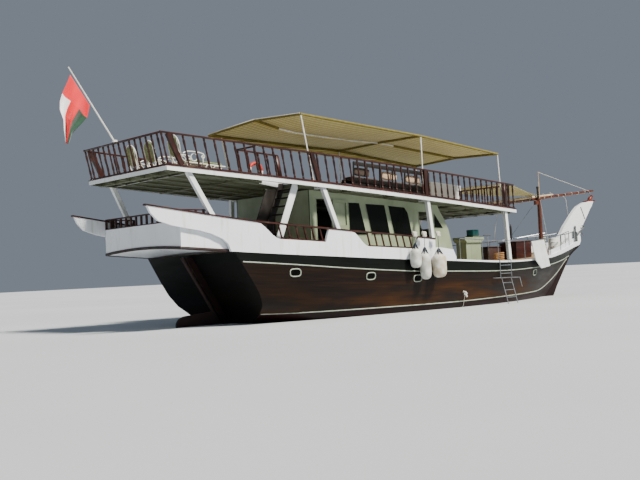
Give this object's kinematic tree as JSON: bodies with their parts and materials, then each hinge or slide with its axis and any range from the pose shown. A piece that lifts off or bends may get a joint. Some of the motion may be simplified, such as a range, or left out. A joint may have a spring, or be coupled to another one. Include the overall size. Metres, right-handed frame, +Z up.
{
  "type": "dhow sailing boat",
  "caption": "Wooden passenger dhow with overhanging stern gallery, deckhouse, open upper deck on struts, striped awning, short mast, spar and raised stem head.",
  "frame": {"origin": "on the waterline at the centreline, amidships", "axes": "+X to the bow, +Y to port, +Z up"},
  "size_m": [27.0952, 6.3344, 9.66],
  "materials": {
    "hull_paint": "dark oiled and painted planking with pale stripes",
    "antifouling": "dull dark red bottom paint",
    "white_paint": "gloss white paint on wood, weathered",
    "deck_planks": "worn deck planks",
    "varnish": "red-brown varnished hardwood",
    "cabin_paint": "satin grey-beige paint on wood",
    "glass": "dark window glass",
    "pipe_paint": "white painted pipe",
    "steel": "polished stainless tube",
    "bronze": "dull bronze",
    "canvas": "striped canvas, olive and cream",
    "flag_cloth": "woven flag cloth in broad colour bands",
    "fender": "scuffed white inflatable fender skin",
    "plastic": "white moulded plastic",
    "cushion": "outdoor cushion fabric"
  },
  "bodies": {
    "boat": {"hull": "hull_paint", "backbone": "antifouling", "stem_head": "white_paint", "main_deck": "deck_planks", "bulwark_port": "white_paint", "bulwark_starboard": "white_paint", "cap_rail_port": "varnish", "cap_rail_starboard": "varnish", "stern_gallery": "white_paint", "gallery_rail": "varnish", "house_side_port": "cabin_paint", "house_side_starboard": "cabin_paint", "house_aft": "cabin_paint", "house_front": "cabin_paint", "window_glass_port": "glass", "window_glass_starboard": "glass", "stair": "varnish", "upper_deck": "white_paint", "upper_deck_frame": "white_paint", "struts_aft": "white_paint", "struts_middle": "white_paint", "struts_house": "white_paint", "struts_fore": "white_paint", "balustrade_port": "varnish", "balustrade_starboard": "varnish", "balustrade_aft": "varnish", "balustrade_fore": "varnish", "stairwell_guard": "varnish", "awning_frame": "pipe_paint", "awning": "canvas", "fore_awning": "canvas", "mast": "varnish", "spar": "varnish", "flagstaff": "white_paint", "flag": "flag_cloth", "fender_1": "fender", "fender_2": "fender", "fender_3": "fender", "bow_board": "plastic", "foredeck_rail_port": "steel", "foredeck_rail_starboard": "steel", "fore_console": "white_paint", "hatch_coaming": "varnish", "lounger_1": "plastic", "lounger_2": "plastic", "lounger_3": "plastic", "lounger_pad_1": "cushion", "lounger_pad_2": "cushion", "lounger_pad_3": "cushion", "bench": "varnish", "bench_pad": "cushion", "cabinet": "white_paint"},
    "rudder": {"rudder": "antifouling"},
    "propeller": {"propeller": "bronze"},
    "helm_wheel": {"helm_wheel": "varnish"},
    "aft_door": {"aft_door": "varnish"},
    "side_door_port": {"side_door_port": "white_paint"},
    "side_door_starboard": {"side_door_starboard": "white_paint"},
    "hatch_lid": {"hatch_lid": "varnish"},
    "boarding_ladder": {"boarding_ladder": "steel"}
  },
  "joints": [
    {"name": "rudder_swing", "type": "hinge", "parent": "boat", "child": "rudder", "pos_m": [-8.805, 0, 0], "axis": [-0.5367, 0, 0.8438], "range_deg": [-35, 35]},
    {"name": "propeller_spin", "type": "hinge", "parent": "boat", "child": "propeller", "pos_m": [-7.4, 0, -1.185], "axis": [1, 0, 0], "continuous": true},
    {"name": "helm_turn", "type": "hinge", "parent": "boat", "child": "helm_wheel", "pos_m": [-0.395, 0, 2.78], "axis": [1, 0, 0], "range_deg": [-540, 540]},
    {"name": "aft_door_hinge", "type": "hinge", "parent": "boat", "child": "aft_door", "pos_m": [-6.532, 0.57, 2.9], "axis": [0, 0, -1], "range_deg": [0, 110]},
    {"name": "side_door_port_hinge", "type": "hinge", "parent": "boat", "child": "side_door_port", "pos_m": [-5.545, 1.932, 2.9], "axis": [0, 0, 1], "range_deg": [0, 180]},
    {"name": "side_door_starboard_hinge", "type": "hinge", "parent": "boat", "child": "side_door_starboard", "pos_m": [-5.545, -1.932, 2.9], "axis": [0, 0, -1], "range_deg": [0, 180]},
    {"name": "hatch_lid_hinge", "type": "hinge", "parent": "boat", "child": "hatch_lid", "pos_m": [7.27, 0, 2.40885], "axis": [0, 1, 0], "range_deg": [0, 100]},
    {"name": "boarding_ladder_hinge", "type": "hinge", "parent": "boat", "child": "boarding_ladder", "pos_m": [2.385, -2.72, 0.96], "axis": [-1, 0, 0], "range_deg": [0, 150]}
  ],
  "couplings": [
    {"joint": "helm_turn", "follows": "rudder_swing", "ratio": 15.4}
  ]
}
